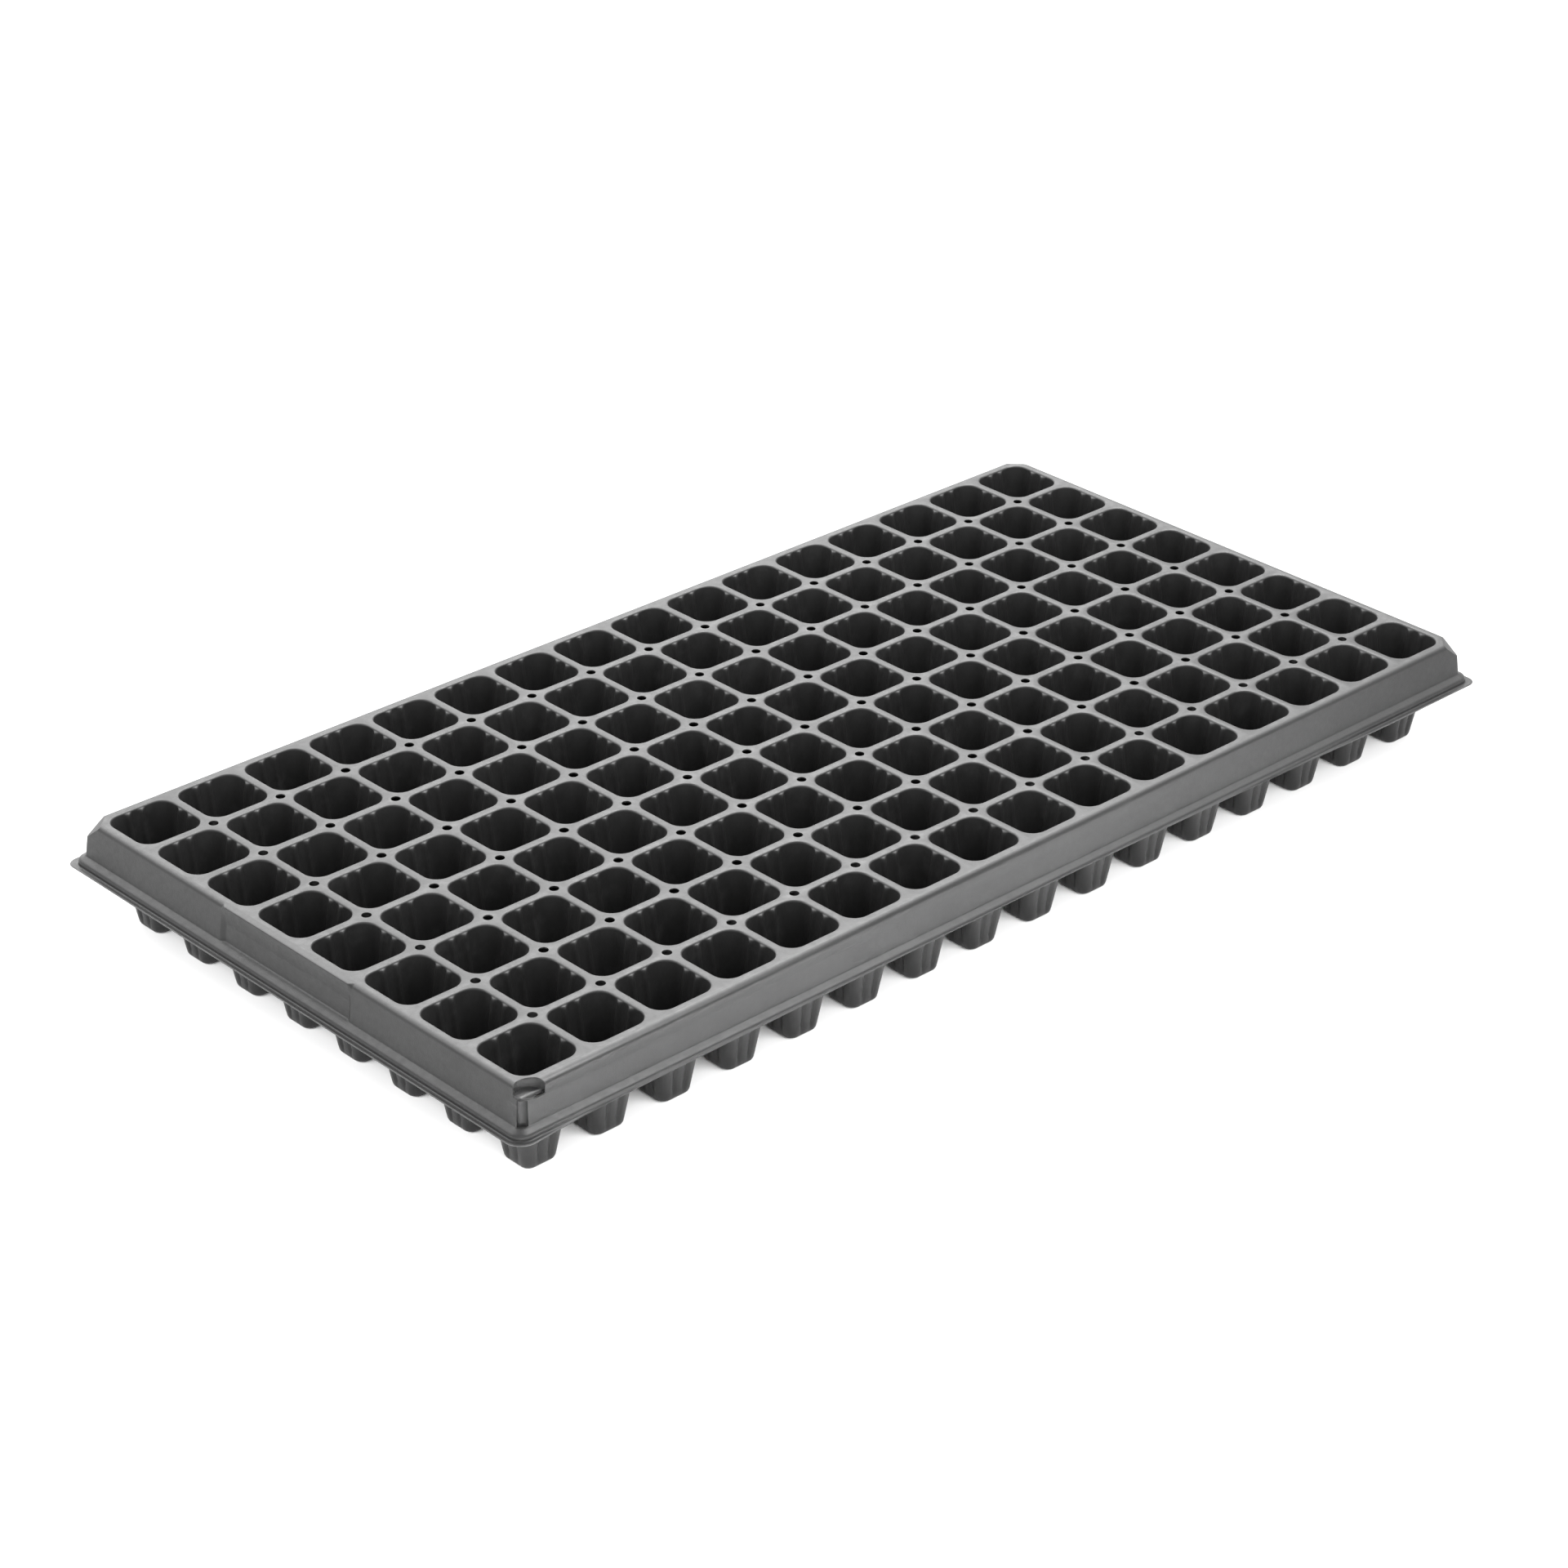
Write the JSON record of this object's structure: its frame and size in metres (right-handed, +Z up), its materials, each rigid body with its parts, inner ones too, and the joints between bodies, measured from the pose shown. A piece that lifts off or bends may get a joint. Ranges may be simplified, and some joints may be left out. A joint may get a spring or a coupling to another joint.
{
  "type": "seed tray",
  "caption": "Black plastic plug tray for seedlings: tapering square cells with drain holes hang from a flat deck inside a skirted, stepped rim.",
  "frame": {"origin": "middle of the tray's outline, on the plane that the cell floors stand on", "axes": "+X along the long side, +Y across the tray, +Z up; the label panel is on the -X end"},
  "size_m": [0.54, 0.28, 0.046],
  "materials": {
    "black_plastic": "satin black, lightly scuffed"
  },
  "bodies": {
    "root": {"cell_sides_front": "black_plastic", "cell_sides_back": "black_plastic", "cell_sides_left": "black_plastic", "cell_sides_right": "black_plastic", "cell_corners_front_left": "black_plastic", "cell_corners_front_right": "black_plastic", "cell_corners_back_left": "black_plastic", "cell_corners_back_right": "black_plastic", "cell_floors": "black_plastic", "deck_webs_lengthwise": "black_plastic", "deck_webs_crosswise": "black_plastic", "deck_crossings": "black_plastic", "skirt_front": "black_plastic", "skirt_back": "black_plastic", "skirt_left": "black_plastic", "skirt_right": "black_plastic", "skirt_corner_front_left": "black_plastic", "skirt_corner_front_right": "black_plastic", "skirt_corner_back_left": "black_plastic", "skirt_corner_back_right": "black_plastic", "corner_bevel_front_right": "black_plastic", "corner_bevel_back_left": "black_plastic", "corner_bevel_back_right": "black_plastic", "corner_seat": "black_plastic", "flange_front": "black_plastic", "flange_back": "black_plastic", "flange_left": "black_plastic", "flange_right": "black_plastic", "flange_corner_front_left": "black_plastic", "flange_corner_front_right": "black_plastic", "flange_corner_back_left": "black_plastic", "flange_corner_back_right": "black_plastic", "label_panel": "black_plastic"}
  },
  "joints": []
}
